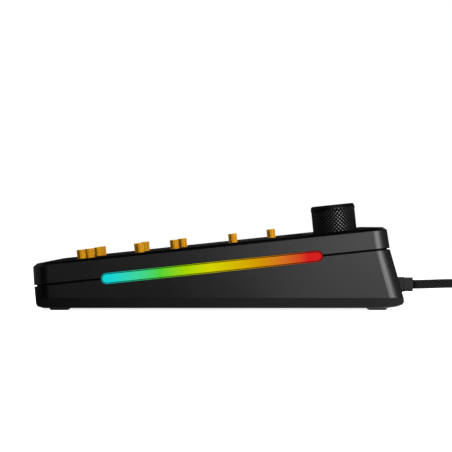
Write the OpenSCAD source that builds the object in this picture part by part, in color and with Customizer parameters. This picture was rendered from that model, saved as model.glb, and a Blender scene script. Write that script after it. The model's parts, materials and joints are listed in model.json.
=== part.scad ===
/* [Case] */
// Width of the case across the seam, side to side
case_w = 450.8; // [450:0.1:560]
// Length of the case at the seam, measured along the tilted deck
case_d = 144.7; // [144:0.1:190]
// Slope of the deck, lower at the front
tilt = 6; // [5:0.1:8]
// Height above the desk of the deck at the front row of keys
deck_h = 21.13; // [21:0.05:27]
// Distance from the front row of keys to the front of the case at the seam
front_margin = 22.4; // [20:0.1:30]
// Plan radius of the vertical corners
corner_r = 6; // [3:0.1:9]
// Draft of the upper case's outer faces
draft = 3; // [1:0.5:5]
// Depth of the seam below the deck
seam_depth = 9.34; // [9.1:0.01:9.5]
// Height of the shadow groove along the seam
groove_h = 0.6; // [0.3:0.1:0.8]
// Depth of the shadow groove along the seam
groove_d = 1.2; // [0.5:0.1:2]
// Height of the chamfer round the top edge
edge_down = 1.25; // [0.6:0.05:2]
// Width of the chamfer round the top edge
edge_in = 1.6; // [0.8:0.1:2.5]
// Thickness of the side walls
side_wall = 7.4; // [6.6:0.1:7.6]
// Thickness of the front and back walls
end_wall = 8.5; // [7:0.1:9]
// Thickness of the bezel over the plate gaskets
bezel_t = 4.5; // [3:0.1:4.9]
// Lean of the lower case's front face
front_lean = 5.5; // [2:0.5:10]
// Lean of the lower case's back face
back_lean = 16; // [10:0.5:20]

/* [Keys] */
// Distance between key centres
key_pitch = 19.05; // [18.8:0.05:19.3]
// Extra gap between the number row and the function row
function_gap = 5.95; // [4.5:0.05:7]
// Side of the square switch cut-outs
switch_w = 14; // [13.8:0.05:14.2]
// Clearance between the key field and the edge of each well
well_gap = 0.6; // [0.3:0.1:0.8]
// Thickness of the switch plate
plate_t = 1.5; // [1.2:0.1:1.6]
// Height of the plate's top over the circuit board's top
plate_over_board = 5; // [4.9:0.05:5.1]
// Depth of the plate's top below the deck
plate_depth = 6.5; // [6.3:0.1:7]
// Thickness of the circuit board
board_t = 1.6; // [1.2:0.1:1.6]
// Thickness of the hot-swap sockets under the board
socket_t = 1.8; // [1.6:0.05:1.8]

/* [Stabilizers] */
// Half the spacing of the stems of a two-unit key
stab_half = 11.938; // [11.8:0.01:12.1]
// Half the spacing of the stems of the space bar
space_half = 50; // [48:0.5:52]
// Downward travel of a stem
stem_travel = 4; // [3:0.1:4]
// Height of the raised stems above the deck
stem_proud = 3.67; // [3.5:0.01:4]
// Width of the cross on top of a stem
cross_w = 3.5; // [3.3:0.05:3.6]
// Thickness of the cross's arms
cross_t = 1.2; // [1:0.05:1.3]
// Diameter of the stabilizer wire
wire_d = 1.6; // [1.4:0.1:1.6]

/* [Knob] */
// Diameter of the knob
knob_d = 18; // [16:0.1:18.4]
// Height of the knob above the deck
knob_top = 11.05; // [10.5:0.05:14]
// Travel of the knob when it is pressed
press_travel = 0.5; // [0.3:0.1:0.5]

/* [Light strip] */
// Length of the light strip
strip_l = 89.6; // [60:0.1:110]
// Height of the light strip
strip_h = 4.1; // [3:0.1:4.5]

/* [Feet] */
// Height of the feet below the lower case
foot_proud = 0.88; // [0.5:0.02:1.2]
// Width of a foot, front to back
foot_w = 8; // [5:0.5:8]
// Length of a foot, side to side
foot_l = 36; // [20:1:60]

/* [Cable] */
// Diameter of the cable
cord_d = 4; // [3.6:0.1:4]
// Height of the cable socket's centre above the desk
port_z = 8; // [7.8:0.1:9]
// Place of the cable socket across the case
port_x = -70; // [-74:1:-66]
// Mean radius of the coil's turns
coil_r = 22; // [20:0.5:24]
// Turns in each layer of the coil
coil_turns = 3; // [2:1:4]

/* [Hidden] */
$fn = 48;
hull_fn = 32;
eps = 0.01;
far = 60;

// Rows of keys from the front: [row, [[first unit, [widths in units]], ...]]
ROWS = [
    [0, [[0, [1.25, 1.25, 1.25, 6.25, 1.25, 1.25, 1.25, 1.25]], [15.25, [1, 1, 1]], [18.5, [2, 1]]]],
    [1, [[0, [2.25, 1, 1, 1, 1, 1, 1, 1, 1, 1, 1, 2.75]], [16.25, [1]], [18.5, [1, 1, 1]]]],
    [2, [[0, [1.75, 1, 1, 1, 1, 1, 1, 1, 1, 1, 1, 1, 2.25]], [18.5, [1, 1, 1]]]],
    [3, [[0, [1.5, 1, 1, 1, 1, 1, 1, 1, 1, 1, 1, 1, 1, 1.5]], [15.25, [1, 1, 1]], [18.5, [1, 1, 1]]]],
    [4, [[0, [1, 1, 1, 1, 1, 1, 1, 1, 1, 1, 1, 1, 1, 2]], [15.25, [1, 1, 1]], [18.5, [1, 1, 1, 1]]]],
    [5, [[0, [1]], [2, [1, 1, 1, 1]], [6.5, [1, 1, 1, 1]], [11, [1, 1, 1, 1]],
         [15.25, [1, 1, 1]], [18.5, [1, 1, 1]]]],
];
field_units = 22.5;
// Two-unit keys that stand upright on the number pad: [unit, row] of the centre
TALL_KEYS = [[22, 0.5], [22, 2.5]];
knob_unit = 22;
// Wells in the deck: [first unit, last unit, first row, last row]
WELLS = [
    [0, 15, 0, 4], [0, 15, 5, 5],
    [15.25, 18.25, 0, 0], [16.25, 17.25, 0, 1], [15.25, 18.25, 3, 4], [15.25, 18.25, 5, 5],
    [18.5, 22.5, 0, 4], [18.5, 21.5, 5, 5],
];
// Stabilizers: [key, unit and row of its centre, half spacing, upright]
STABS = [
    ["left_shift", 1.125, 1, stab_half, false],
    ["right_shift", 13.625, 1, stab_half, false],
    ["enter", 13.875, 2, stab_half, false],
    ["backspace", 14, 4, stab_half, false],
    ["space", 6.875, 0, space_half, false],
    ["numpad_zero", 19.5, 0, stab_half, false],
    ["numpad_enter", 22, 0.5, stab_half, true],
    ["numpad_plus", 22, 2.5, stab_half, true],
];
// Spacers between plate and board: [unit, row]
SPACERS = [
    [3.78, 0], [9.97, 0], [15.125, 0.5], [18.375, 0.5], [1.565, 2], [3.75, 2], [7.75, 2], [10.75, 2],
    [15.125, 2.5], [18.375, 2.5], [19.5, 2], [20.5, 3],
    [1.8, 4.656], [7.25, 4.656], [11.2, 4.656], [16.75, 4.656], [20.5, 4.656],
];

function unit_x(u) = (u - field_units / 2) * key_pitch;
function row_t(r) = r * key_pitch + (r > 4.9 ? function_gap : 0);
function total(list, n) = n == 0 ? 0 : list[n - 1] + total(list, n - 1);
KEYS = concat(
    [for (row = ROWS, run = row[1], i = [0 : len(run[1]) - 1])
        [unit_x(run[0] + total(run[1], i) + run[1][i] / 2), row_t(row[0])]],
    [for (k = TALL_KEYS) [unit_x(k[0]), row_t(k[1])]]
);
knob_x = unit_x(knob_unit);
knob_t = row_t(5);

// Levels below the deck, and the edges of the case along it
half_w = case_w / 2;
t_front = -front_margin;
t_back = case_d - front_margin;
t_mid = (t_front + t_back) / 2;
plate_n = -plate_depth;
board_n = plate_n - plate_over_board;
seam_n = -seam_depth;
groove_n = seam_n + groove_h;
side_draft = (-groove_n - edge_down) * tan(draft);
gasket_t = plate_depth - bezel_t;
ledge_n = plate_n - plate_t - gasket_t;
// Inside of the case at plate level and at board level
fit = 0.4;
in_w = half_w - side_wall;
in_front = t_front + end_wall;
in_back = t_back - end_wall;
ledge_w = 2.8;
low_w = in_w - ledge_w;
low_front = in_front + ledge_w;
low_back = in_back - ledge_w;
foam_t = 1.8;
floor_n = board_n - board_t - socket_t - 0.2 - foam_t;

// Controller under the board, between the function row's sockets and the number row's
chip_w = 9;
chip_h = 1;
chip_x = -40;
chip_t = row_t(4) + 17;

// The tilted deck's place: the case is centred over the origin, front to back
base_z = foot_proud;
side_z = 4.95;
function y_of(t, n) = t * cos(tilt) - n * sin(tilt);
function z_of(t, n) = deck_h + t * sin(tilt) + n * cos(tilt);
front_y0 = y_of(t_front + side_draft, -edge_down);
seam_front_y0 = y_of(t_front, seam_n);
seam_back_y0 = y_of(t_back, seam_n);
low_front_y0 = seam_front_y0 + (z_of(t_front, seam_n) - side_z) * tan(front_lean);
low_back_y0 = seam_back_y0 + (z_of(t_back, seam_n) - side_z) * tan(back_lean);
// Rounding under the case: [height, inset of side, of front, of back]
BASE_EDGE = [
    [side_z, 0.1, 0, 0],
    [3.2, 1.75, 0.17, -0.12],
    [2.3, 2.7, 0.33, 0.48],
    [1.5, 3.6, 0.86, 2.53],
    [base_z, 5.1, 3, 6.4],
];
deck_y = -(min(front_y0, seam_front_y0) + low_back_y0 - BASE_EDGE[1][3]) / 2;
low_front_y = low_front_y0 + deck_y;
low_back_y = low_back_y0 + deck_y;

// Light strip
strip_gap = 0.15;
strip_n = seam_n + groove_h / 2;
strip_face = half_w - 0.2;
flange_x = half_w - 2.6;
flange_t = 1.45;
flange_lip = 0.8;
pocket_in = half_w - 6.2;
led_board_t = 1.2;
pocket_half = strip_h / 2 + 1.85;
pocket_l = strip_l + 5.4;

// Fasteners
case_screw_d = 3;
case_head_d = 5.5;
case_head_h = 2;
case_screw_l = 7;
head_seat_n = seam_n - 3.2;
CASE_SCREW_X = [for (k = [-2 : 2]) k * (half_w - 25) / 2];
small_screw_d = 2;
small_head_d = 3.8;
small_head_h = 1.2;
recess_w = 0.45;
recess_l = 2.1;
recess_h = 0.7;
spacer_d = 3.8;
spacer_h = plate_over_board - plate_t;

// Stabilizer, with heights above the board
stab_reach = 9.3;
bar_h = 2;
stem_bore_h = stem_travel + 1.6;
stem_foot_h = stem_travel + 0.1;
stem_body_top = 10;
stem_top_h = stem_proud - board_n;
stem_w = 4.2;
stem_l = 4.6;
slide_gap = 0.2;
house_w = 6.4;
house_top_h = 10.8;
base_h = 1.9;
hook_t = -6.985;
hook_hole_d = 3.2;
stab_screw_t = 6.2;
stab_screw_d = 1.9;
leg_l = 10.2;
leg_rest = atan((stem_bore_h - bar_h) / stab_reach);

// Rotary encoder, with heights above the board
enc_w = 11.7;
enc_l = 12.4;
enc_h = 6.8;
bush_d = 7;
bush_l = 5;
shaft_d = 6;
shaft_gap = 0.05;
rotor_d = 8;
rotor_low = 2.6;
rotor_high = 5.3;
shaft_top = 20;
button_d = 5;
pad_top = 0.9;
button_low = pad_top + 0.25 + press_travel;
knob_low = -2;
knob_cave = 1.6;
insert_d = 9;
insert_top = 9.2;

// Pockets in the floor: [from, to, depth]. The deep one is the bay of the small board
pocket_t = 62;
FLOOR_POCKETS = [[-208, -100, -19.5], [-96, -44, -24], [-40, 84, -19.5], [88, 208, -19.5]];

// Cable socket and plug
port_back = low_back_y - (port_z - side_z) * tan(back_lean);
bay_floor = 3.4;
bay_front = 27.5;
bay_back = deck_y + y_of(low_back, -24.5);
mouth_y = bay_back + 1.8;
usb_w = 8.94;
usb_h = 3.26;
usb_l = 7.3;
daughter_t = 1.2;
daughter_top = port_z - usb_h / 2;
plug_w = 11.6;
plug_h = 6.2;
plug_face = mouth_y + 0.8;
plug_end = port_back + 12.4;

// Cable outside: the lead's route to the coil, chosen by hand
LEAD_ROUTE = [
    [-70, 86.47, 8], [-70, 89, 8.02], [-70, 92, 8.08], [-70, 95, 8.18], [-70, 98, 8.3], [-70, 101, 8.38],
    [-70, 104, 8.4], [-70, 107, 8.25], [-70, 110, 7.9], [-70, 113, 7.3], [-70, 116, 6.5], [-70, 119, 5.6],
    [-70, 122, 4.7], [-70, 125, 3.9], [-70, 128, 3.3], [-70, 131, 3], [-70, 133.5, 2.9], [-70, 136, 2.9],
];
lead_end = LEAD_ROUTE[len(LEAD_ROUTE) - 1];
coil_pitch = cord_d + 0.45;
coil_layers = 4;
loop_points = 24;
coil_out = coil_r + coil_pitch * coil_turns / 2;
coil_x = lead_end[0] - coil_out;
coil_y = lead_end[1] + cord_d;
coil_low = lead_end[2];
coil_high = coil_low + (coil_layers - 1) * coil_pitch;
tail_turn = 1 / 3;
tail_straight = 20;
end_plug_h = 7.8;
end_plug_z = end_plug_h / 2 + 0.1;

function smooth(x) = let (c = min(1, max(0, x))) c * c * (3 - 2 * c);
function coil_radius(u) =
    let (layer = min(coil_layers - 1, floor(u / coil_turns)), f = u - layer * coil_turns)
    layer % 2 == 0 ? coil_out - coil_pitch * f : coil_out - coil_pitch * (coil_turns - f);
function coil_height(u) =
    coil_low + coil_pitch * total([for (k = [1 : coil_layers - 1]) smooth((u - k * coil_turns) * 2 + 0.5)],
                                  coil_layers - 1);
coil_all = coil_turns * coil_layers;
function coil_point(u) =
    let (tail = u - coil_all, out = tail > 0)
    let (r = out ? coil_out + coil_pitch * smooth(tail / 0.19) : coil_radius(u))
    let (fall = smooth((tail - 0.07) / (tail_turn - 0.07)))
    let (z = out ? coil_high - (coil_high - end_plug_z) * fall : coil_height(u))
    [coil_x + r * cos(360 * u), coil_y + r * sin(360 * u), z];
tail_angle = 360 * tail_turn;
tail_way = [-sin(tail_angle), cos(tail_angle), 0];
tail_from = coil_point(coil_all + tail_turn);
COIL_ROUTE = concat(
    [lead_end, lead_end + [0, cord_d / 2, 0]],
    [for (k = [0 : (coil_all + tail_turn) * loop_points]) coil_point(k / loop_points)],
    [for (k = [1 : 3]) tail_from + tail_way * tail_straight * k / 3]
);
tail_end = COIL_ROUTE[len(COIL_ROUTE) - 1];
coil_gap = min([for (i = [0 : len(COIL_ROUTE) - 1])
    for (j = [i + 9 : 1 : len(COIL_ROUTE) - 1]) norm(COIL_ROUTE[i] - COIL_ROUTE[j])]) - cord_d;
echo(coil_gap = coil_gap);

// Cable inside: its first points leave the small board's connector, its last ones reach the main board's
socket_x = -95;
socket_row_t = row_t(4) + 11;
socket_h = 3.2;
jumper_start = [port_x, 40.4, daughter_top + 1.73];
jumper_n = board_n - board_t - socket_h / 2;
jumper_t = socket_row_t - 1.05;
jumper_end = [socket_x, deck_y + y_of(jumper_t, jumper_n), z_of(jumper_t, jumper_n)];
JUMPER_ROUTE = concat(
    [for (p = [[0, 0, 0], [0, -2, 0], [-0.3, -4.4, 0.1], [-1.5, -7, 0.4], [-4, -9.4, 0.8], [-7.5, -11, 1.3]])
        jumper_start + p],
    [for (p = [[13.5, -6.05, -5.7], [9.5, -6.05, -5.1], [5.5, -5.55, -4.4], [2, -4.65, -3.5],
               [0.4, -3.4, -2.5], [0, -2, -1.5], [0, 0, 0]])
        jumper_end + p]
);

SIDE_NAMES = [["left", "right"], ["back", "front"]];
function stem_node(s, k) = str(s[0], "_", SIDE_NAMES[s[4] ? 1 : 0][k], "_stem");
function wire_node(s) = str(s[0], "_wire");

// Puts children in the deck's frame: x to the right, y up the slope, z square to the deck
module deck() translate([0, deck_y, deck_h]) rotate([tilt, 0, 0]) children();

// Puts children on top of the circuit board, in the deck's frame
module on_board() deck() translate([0, 0, board_n]) children();

// A rectangle with round corners between two lengths along the deck
module field(half_x, t0, t1, r) {
    translate([-half_x + r, t0]) square([2 * (half_x - r), t1 - t0]);
    translate([-half_x, t0 + r]) square([2 * half_x, t1 - t0 - 2 * r]);
    for (x = [-1, 1], t = [t0 + r, t1 - r]) translate([x * (half_x - r), t]) circle(r);
}

module slab(n0, n1) translate([0, 0, n0]) linear_extrude(n1 - n0) children();

// Four corner posts of a thin layer, for a hull
module layer(half_x, y0, y1, z, r) {
    for (x = [-1, 1], y = [y0 + r, y1 - r])
        translate([x * (half_x - r), y, z]) cylinder(r = r, h = eps, $fn = hull_fn);
}

module rounded(w, h, r) {
    square([w - 2 * r, h], center = true);
    square([w, h - 2 * r], center = true);
    for (x = [-1, 1], y = [-1, 1]) translate([x * (w / 2 - r), y * (h / 2 - r)]) circle(r);
}

// A stadium that lies along the deck's slope, extruded to the right from x
module pill(x, length, height, depth) {
    translate([x, t_mid, strip_n]) rotate([90, 0, 90]) linear_extrude(depth) {
        square([length - height, height], center = true);
        for (s = [-1, 1]) translate([s * (length - height) / 2, 0]) circle(height / 2);
    }
}

module both_sides() {
    children();
    mirror([1, 0, 0]) children();
}

module at_case_screws() {
    for (x = CASE_SCREW_X, t = [t_front + end_wall / 2, t_back - end_wall / 2])
        translate([x, t, 0]) children();
}

module at_spacers() {
    for (s = SPACERS) let (row = min(s[1], 4))
        translate([unit_x(s[0]), row_t(row) + (s[1] - row) * key_pitch, 0]) children();
}

// Room for the light board and the strip's flange; over the ledge it opens into the case
module light_pocket(inner) {
    translate([inner, t_mid - pocket_l / 2, strip_n - pocket_half])
        cube([flange_x + 0.1 - inner, pocket_l, 2 * pocket_half]);
    pill(flange_x, strip_l + 2 * strip_gap, strip_h + 2 * strip_gap, 4);
}

module top_case() color("#1d1f22") deck() difference() {
    union() {
        hull() {
            layer(half_w, t_front, t_back, groove_n, corner_r);
            layer(half_w - side_draft, t_front + side_draft, t_back - side_draft,
                  -edge_down - eps, corner_r);
            layer(half_w - side_draft - edge_in, t_front + side_draft + edge_in + 0.3,
                  t_back - side_draft - edge_in, -eps, corner_r - 1);
        }
        slab(seam_n, groove_n)
            field(half_w - groove_d, t_front + groove_d, t_back - groove_d, corner_r - groove_d);
    }
    slab(seam_n - 1, -bezel_t) field(in_w, in_front, in_back, 1.5);
    for (w = WELLS)
        translate([unit_x(w[0]) - well_gap, row_t(w[2]) - key_pitch / 2 - well_gap, -bezel_t - 1])
            cube([(w[1] - w[0]) * key_pitch + 2 * well_gap,
                  row_t(w[3]) - row_t(w[2]) + key_pitch + 2 * well_gap, bezel_t + 2]);
    translate([knob_x, knob_t, -bezel_t - 1]) cylinder(d = knob_d + 1.2, h = bezel_t + 2);
    at_case_screws() translate([0, 0, seam_n - 1]) cylinder(d = case_screw_d + 0.1, h = case_screw_l - 1.4);
    both_sides() light_pocket(in_w - 1);
}

module bottom_shell() hull() {
    deck() layer(half_w, t_front, t_back, seam_n - eps, corner_r);
    for (e = BASE_EDGE)
        layer(half_w - e[1], low_front_y + e[2], low_back_y - e[3], e[0], max(2, corner_r - e[1] / 2));
}

module bottom_case() color("#1a1b1e") difference() {
    union() {
        difference() {
            bottom_shell();
            deck() {
                slab(ledge_n, 0) field(in_w, in_front, in_back, 1.5);
                slab(floor_n, 0) field(low_w, low_front, low_back, 1.5);
                both_sides() light_pocket(pocket_in);
                at_case_screws() {
                    translate([0, 0, head_seat_n - eps]) cylinder(d = case_screw_d + 0.3, h = far);
                    translate([0, 0, head_seat_n - far]) cylinder(d = case_head_d + 0.5, h = far);
                }
                for (p = FLOOR_POCKETS)
                    translate([p[0], pocket_t, p[2]]) cube([p[1] - p[0], low_back - pocket_t, 8]);
            }
            translate([port_x - 14, bay_front, bay_floor]) cube([28, bay_back - bay_front, 8]);
            port_cut();
            for (x = [-1, 1], y = [-1, 1])
                translate([foot_x(x) - foot_l / 2 - 0.2, foot_y(y) - foot_w / 2 - 0.2, -eps])
                    cube([foot_l + 0.4, foot_w + 0.4, foot_proud + 1 + 2 * eps]);
        }
        for (x = [-6, 6]) translate([port_x + x, 44, bay_floor - 0.5])
            cylinder(d = 5, h = daughter_top - daughter_t - bay_floor + 0.5);
    }
    for (x = [-6, 6]) translate([port_x + x, 44, bay_floor - 1]) cylinder(d = small_screw_d + 0.1, h = 4);
}

// Way through the back wall for the plug: its body's pocket outside, the socket's mouth inside
module port_cut() {
    translate([port_x, far * 2, port_z]) rotate([90, 0, 0]) {
        linear_extrude(far * 2 - mouth_y - 0.5) rounded(plug_w + 1.2, plug_h + 1.2, 2.6);
        linear_extrude(far * 2 - bay_back + 1) rounded(usb_w + 0.5, usb_h + 0.5, 1.7);
    }
}

function foot_x(side) = side * (half_w - 30);
function foot_y(end) = end < 0 ? low_front_y + 9.6 : low_back_y - 10.6;

module rubber_feet() color("#101010")
    for (x = [-1, 1], y = [-1, 1]) translate([foot_x(x), foot_y(y), 0]) intersection() {
        rotate([90, 0, 0]) translate([0, 0, -foot_w / 2]) linear_extrude(foot_w) foot_profile(foot_l);
        rotate([90, 0, 90]) translate([0, 0, -foot_l / 2]) linear_extrude(foot_l) foot_profile(foot_w);
    }

module foot_profile(w) polygon([
    [-w / 2 + 0.6, 0], [w / 2 - 0.6, 0], [w / 2, 0.6],
    [w / 2, foot_proud + 1], [-w / 2, foot_proud + 1], [-w / 2, 0.6],
]);

// Cut-outs for the stabilizers' towers, in plan
module at_stabs() {
    for (s = STABS)
        translate([unit_x(s[1]), row_t(s[2]), 0]) rotate(s[4] ? -90 : 0) at_pair(s[3]) children();
}

module at_pair(half) for (x = [-1, 1]) translate([x * half, 0, 0]) children();

module plan_square(w, l) square([w, l], center = true);

module switch_plate() color("#242527") deck() slab(plate_n - plate_t, plate_n) difference() {
    field(in_w - fit, in_front + fit, in_back - fit, 1);
    for (k = KEYS) translate(k) plan_square(switch_w, switch_w);
    translate([knob_x, knob_t]) plan_square(switch_w, switch_w);
    at_stabs() translate([-3.6, -8]) square([7.2, 13.2]);
    at_spacers() circle(d = small_screw_d + 0.2, $fn = 12);
}

module plate_foam() color("#3a3a3c") deck() slab(board_n + 0.05, plate_n - plate_t - 0.05) difference() {
    field(low_w - 1.6, low_front + 1.6, low_back - 1.6, 1);
    for (k = KEYS) translate(k) plan_square(switch_w + 1, switch_w + 1);
    translate([knob_x, knob_t]) plan_square(switch_w + 1, switch_w + 1);
    at_stabs() translate([-4, -11.2]) square([8, 20.4]);
    for (s = STABS) translate([unit_x(s[1]), row_t(s[2])]) rotate(s[4] ? -90 : 0) {
        translate([0, -stab_reach]) plan_square(2 * s[3], 3);
        // beside the front wall the slot runs through the foam's edge
        if (s[2] == 0) translate([0, -stab_reach - 5]) plan_square(2 * s[3], 8);
        if (s[3] < 20) translate([0, -1]) plan_square(2 * s[3] + 8, 20.4);
    }
    at_spacers() circle(d = spacer_d + 0.5, $fn = 12);
    for (x = [-1, 1]) translate([x * low_w, lead_t]) plan_square(9, 5);
}

module circuit_board() color("#14301f") {
    deck() slab(board_n - board_t, board_n) difference() {
        field(low_w - fit, low_front + fit, low_back - fit, 1);
        for (k = KEYS) translate(k) {
            circle(d = 4, $fn = 8);
            translate([-3.81, 2.54]) circle(d = 3, $fn = 6);
            translate([2.54, 5.08]) circle(d = 3, $fn = 6);
        }
        at_stabs() {
            translate([0, hook_t]) circle(d = hook_hole_d, $fn = 12);
            translate([0, stab_screw_t]) circle(d = stab_screw_d + 0.4, $fn = 12);
        }
        at_spacers() circle(d = small_screw_d + 0.3, $fn = 12);
        for (x = [-2.5, 0, 2.5]) translate([knob_x + x, knob_t - 7.2]) circle(d = 1.2, $fn = 6);
    }
    deck() translate([socket_x - 4, socket_row_t, board_n - board_t - socket_h]) cube([8, 4.4, socket_h]);
}

module controller_chip() color("#141414") deck()
    translate([chip_x - chip_w / 2, chip_t - chip_w / 2, board_n - board_t - chip_h])
        cube([chip_w, chip_w, chip_h]);

// One socket under each key, with its two contact tubes up in the board
module hot_swap_sockets() color("#1b1b1b") deck() for (k = KEYS) translate([k[0], k[1], board_n - board_t]) {
    translate([0, 0, -socket_t]) linear_extrude(socket_t) polygon([
        [-5.9, 0.6], [-1.4, 0.6], [-0.2, 3], [4.6, 3], [4.6, 7], [-3.9, 7], [-5.9, 5],
    ]);
    translate([-3.81, 2.54, -eps]) cylinder(d = 2.2, h = 1.2, $fn = 6);
    translate([2.54, 5.08, -eps]) cylinder(d = 2.2, h = 1.2, $fn = 6);
}

module case_foam() color("#4a4a4c") deck() slab(floor_n, floor_n + foam_t) difference() {
    field(low_w - fit, low_front + fit, low_back - fit, 1);
    translate([socket_x, socket_row_t - 1]) plan_square(16, 22);
}

GASKET_L = 16;
module gasket_row(n0, n1) deck() {
    for (x = [-0.8, -0.4, 0, 0.4, 0.8], t = [in_front + fit + 1.1, in_back - fit - 1.1])
        translate([x * in_w, t, 0]) slab(n0, n1) plan_square(GASKET_L, 2.2);
    for (x = [-1, 1], t = [t_mid - 52, t_mid + 50])
        translate([x * (in_w - fit - 1.1), t, 0]) slab(n0, n1) plan_square(2.2, GASKET_L);
}

module upper_gaskets() color("#2f2f31") gasket_row(plate_n, -bezel_t);
module lower_gaskets() color("#2f2f31") gasket_row(ledge_n, plate_n - plate_t);

module light_strip() {
    pill(flange_x, strip_l, strip_h, strip_face - flange_x);
    pill(flange_x - flange_t, strip_l + 2 * flange_lip, strip_h + 2 * flange_lip, flange_t);
}

module light_strip_right() color("#30d8c0") deck() light_strip();
module light_strip_left() color("#30d8c0") mirror([1, 0, 0]) deck() light_strip();

module light_board() {
    translate([pocket_in + 0.1, t_mid - pocket_l / 2 + 1, strip_n - pocket_half + 0.1])
        cube([led_board_t, pocket_l - 2, 2 * pocket_half - 0.4]);
    for (k = [-5.5 : 5.5])
        translate([pocket_in + 0.1 + led_board_t, t_mid + k * strip_l / 12 - 1.4, strip_n - 1.4])
            cube([0.7, 2.8, 2.8]);
}

module light_board_right() color("#e8e8e4") deck() light_board();
module light_board_left() color("#e8e8e4") mirror([1, 0, 0]) deck() light_board();

// A short lead from each light board over the ledge to the circuit board
lead_t = 72;
module light_leads() color("#202020") both_sides() deck() tube([
    for (p = [[pocket_in + 0.1, -8.7], [in_w - 1, -8.7], [in_w - 3, -8.8], [in_w - 4.6, -9.4], [in_w - 5.6, -10.15],
              [in_w - 6.1, -11]]) [p[0], lead_t, p[1]]], 1.1, 8);

module encoder_body() color("#8a8c90") on_board() translate([knob_x, knob_t, 0]) {
    difference() {
        union() {
            translate([-enc_w / 2, -enc_l / 2, 0.1]) cube([enc_w, enc_l, enc_h - 0.1]);
            cylinder(d = bush_d, h = enc_h + bush_l);
        }
        translate([0, 0, 1]) cylinder(d = rotor_d + 0.6, h = rotor_high - 1 + 0.1);
        cylinder(d = shaft_d + 2 * shaft_gap, h = far);
    }
    for (x = [-2.5, 0, 2.5]) translate([x, -7.2, -2.6]) {
        translate([-0.4, -0.25, 0]) cube([0.8, 0.5, 3.6]);
        translate([-0.4, -0.25, 3.1]) cube([0.8, 1.6, 0.5]);
    }
    translate([0, 0, 0.1]) cylinder(d = rotor_d, h = pad_top - 0.1);
}

module encoder_button() color("#d8d8d0") on_board()
    translate([knob_x, knob_t, button_low]) cylinder(d = button_d, h = rotor_low - button_low - 0.05);

module encoder_shaft() color("#b8bac0") on_board() translate([knob_x, knob_t, 0]) {
    translate([0, 0, rotor_low]) cylinder(d = rotor_d, h = rotor_high - rotor_low - 0.1);
    difference() {
        translate([0, 0, rotor_high - 0.2]) cylinder(d = shaft_d, h = shaft_top - rotor_high + 0.2);
        translate([shaft_d / 2 - 1.5, -shaft_d, enc_h + bush_l + 2]) cube([shaft_d, 2 * shaft_d, far]);
    }
}

module knob() color("#17181a") deck() translate([knob_x, knob_t, 0]) rotate_extrude() polygon([
    [0, insert_top], [insert_d / 2, insert_top], [insert_d / 2, knob_cave], [6.6, knob_cave], [6.6, knob_low],
    [knob_d / 2 - 0.4, knob_low], [knob_d / 2, knob_low + 0.4], [knob_d / 2, knob_top - 0.9],
    [knob_d / 2 - 0.9, knob_top], [0, knob_top],
]);

module knob_insert() color("#303236") deck() translate([knob_x, knob_t, 0]) difference() {
    translate([0, 0, knob_cave]) cylinder(d = insert_d - 0.04, h = insert_top - knob_cave - 0.05);
    difference() {
        translate([0, 0, knob_cave - 1])
            cylinder(d = shaft_d + 0.06, h = shaft_top + board_n - knob_cave + 1.2);
        translate([shaft_d / 2 - 1.45, -shaft_d, enc_h + bush_l + board_n + 2])
            cube([shaft_d, 2 * shaft_d, far]);
    }
}

module daughter_board() color("#14301f") {
    difference() {
        translate([port_x - 10, 39.6, daughter_top - daughter_t])
            cube([20, bay_back - 0.3 - 39.6, daughter_t]);
        for (x = [-6, 6]) translate([port_x + x, 44, 0]) cylinder(d = small_screw_d + 0.3, h = 20, $fn = 12);
    }
    translate([port_x - 3, 40.4, daughter_top - eps]) cube([6, 4, 3.2]);
}

module usb_socket() color("#b9bcc0") translate([port_x, mouth_y, port_z]) rotate([90, 0, 0]) {
    linear_extrude(usb_l) difference() {
        rounded(usb_w, usb_h, 1.5);
        rounded(usb_w - 0.6, usb_h - 0.6, 1.25);
    }
    translate([0, 0, usb_l - 1]) linear_extrude(1) rounded(usb_w, usb_h, 1.5);
    translate([-3.3, -0.35, 1]) cube([6.6, 0.7, usb_l - 1.5]);
}

module board_jumper() color("#202020") tube(JUMPER_ROUTE, 2.2, 8);

// A button-head screw that points up, with its head's underside at the origin
module screw(d, l, head_d, head_h) {
    translate([0, 0, -head_h]) cylinder(d = head_d, h = head_h);
    translate([0, 0, -eps]) cylinder(d = d, h = l);
}

module case_screws() color("#888a8e") deck() at_case_screws() translate([0, 0, head_seat_n]) difference() {
    screw(case_screw_d, case_screw_l, case_head_d, case_head_h);
    translate([0, 0, -case_head_h - 1]) cylinder(d = 2.3, h = 2.2, $fn = 6);
}

module spacers() color("#c8a04a") on_board() at_spacers() difference() {
    translate([0, 0, 0]) cylinder(d = spacer_d, h = spacer_h);
    translate([0, 0, -1]) cylinder(d = small_screw_d + 0.1, h = spacer_h + 2);
}

// Every spacer has one screw from above and one from below; two more hold the small board
module board_screws() color("#5c5e62") {
    on_board() at_spacers() {
        translate([0, 0, -board_t]) small_screw(board_t + 1.5);
        translate([0, 0, plate_over_board]) mirror([0, 0, 1]) small_screw(plate_t + 1.5);
    }
    for (x = [-6, 6]) translate([port_x + x, 44, daughter_top])
        mirror([0, 0, 1]) small_screw(daughter_t + 1.6);
}

// The same screw with a cross recess in its head
module cross_screw(d, l, head_d, head_h) difference() {
    screw(d, l, head_d, head_h);
    for (a = [0, 90]) rotate(a) translate([-recess_l / 2, -recess_w / 2, -head_h - eps])
        cube([recess_l, recess_w, recess_h + eps]);
}

module small_screw(l) cross_screw(small_screw_d, l, small_head_d, small_head_h);

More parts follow.
